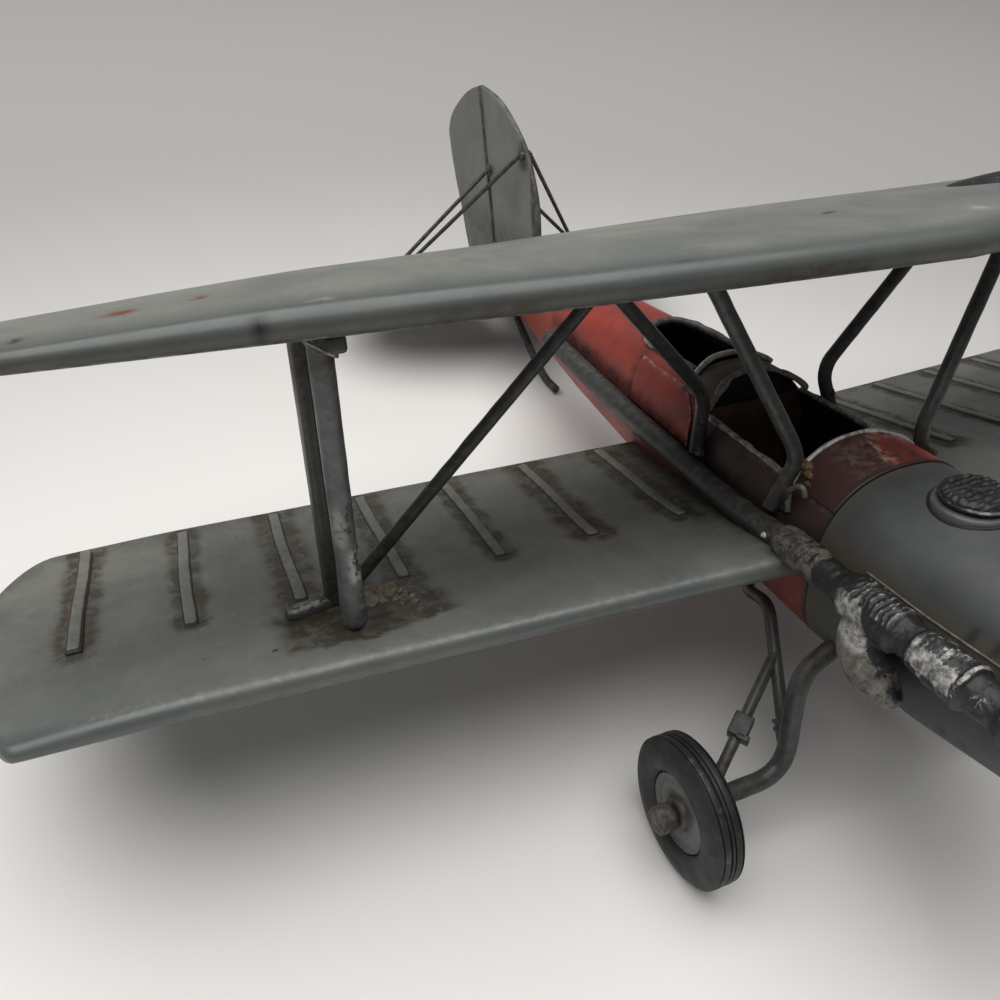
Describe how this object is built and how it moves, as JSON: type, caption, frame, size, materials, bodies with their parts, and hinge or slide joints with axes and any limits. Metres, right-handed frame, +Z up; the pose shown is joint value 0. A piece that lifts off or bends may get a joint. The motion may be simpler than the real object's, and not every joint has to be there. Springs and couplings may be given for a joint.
{
  "type": "tinplate model biplane",
  "caption": "Handmade tinplate model of a two-seat biplane on fixed gear and a tail skid, with turning wheels and propeller.",
  "frame": {"origin": "middle of the bounding box in plan, on the surface that the wheels and the tail skid stand on", "axes": "+X to the port side along the wings, +Y towards the tail, +Z up"},
  "size_m": [0.4272, 0.404, 0.1444],
  "materials": {
    "grey_paint": "weathered grey paint, satin, with brown wash and small chips",
    "dark_grey": "dark grey paint, satin, worn",
    "red_paint": "maroon-red paint, satin, with brown grime",
    "brushed_black": "black paint dry-brushed with silver",
    "bare_rim": "rough bright metal",
    "tan_panel": "tan paint, matt",
    "tyre_rubber": "black satin, scuffed",
    "solder": "rough brown-grey solder"
  },
  "bodies": {
    "airframe": {"axle_port": "solder", "axle_starboard": "solder", "cabane_strut_front_port": "grey_paint", "cabane_strut_front_starboard": "grey_paint", "cabane_strut_rear_port": "grey_paint", "cabane_strut_rear_starboard": "grey_paint", "cockpit_deck_panel": "tan_panel", "cowling": "grey_paint", "diagonal_brace_port": "dark_grey", "diagonal_brace_starboard": "dark_grey", "elevator_port": "grey_paint", "elevator_starboard": "grey_paint", "exhaust_manifold_port": "brushed_black", "exhaust_manifold_starboard": "brushed_black", "exhaust_pipe_port": "dark_grey", "exhaust_pipe_starboard": "dark_grey", "filler_cap": "brushed_black", "filler_cap_base": "dark_grey", "fin": "grey_paint", "front_cockpit_rim": "bare_rim", "fuselage": "red_paint", "gear_leg_port": "grey_paint", "gear_leg_starboard": "grey_paint", "gear_shock_strut_port": "grey_paint", "gear_shock_strut_starboard": "grey_paint", "gear_strut_rear_port": "grey_paint", "gear_strut_rear_starboard": "grey_paint", "interplane_strut_front_port": "grey_paint", "interplane_strut_front_starboard": "grey_paint", "interplane_strut_rear_port": "dark_grey", "interplane_strut_rear_starboard": "dark_grey", "lower_wing_port": "grey_paint", "lower_wing_starboard": "grey_paint", "rear_cockpit_rim": "bare_rim", "rudder": "grey_paint", "strut_foot_strip_port": "solder", "strut_foot_strip_starboard": "solder", "tail_skid": "dark_grey", "tail_stay_front_port": "dark_grey", "tail_stay_front_starboard": "dark_grey", "tail_stay_rear_port": "dark_grey", "tail_stay_rear_starboard": "dark_grey", "tailplane_port": "grey_paint", "tailplane_starboard": "grey_paint", "upper_wing": "grey_paint", "wing_tank": "brushed_black"},
    "wheel_starboard": {"tyre_starboard": "tyre_rubber", "wheel_disc_starboard": "grey_paint"},
    "wheel_port": {"tyre_port": "tyre_rubber", "wheel_disc_port": "grey_paint"},
    "propeller": {"propeller": "dark_grey", "propeller_shaft": "solder", "spinner": "brushed_black"}
  },
  "joints": [
    {"name": "wheel_starboard_spin", "type": "hinge", "parent": "airframe", "child": "wheel_starboard", "pos_m": [-0.061, -0.11669, 0.0185], "axis": [1, 0, 0], "continuous": true},
    {"name": "wheel_port_spin", "type": "hinge", "parent": "airframe", "child": "wheel_port", "pos_m": [0.061, -0.11669, 0.0185], "axis": [1, 0, 0], "continuous": true},
    {"name": "propeller_spin", "type": "hinge", "parent": "airframe", "child": "propeller", "pos_m": [0, -0.18569, 0.08013], "axis": [0, -0.9858, 0.1676], "continuous": true}
  ]
}
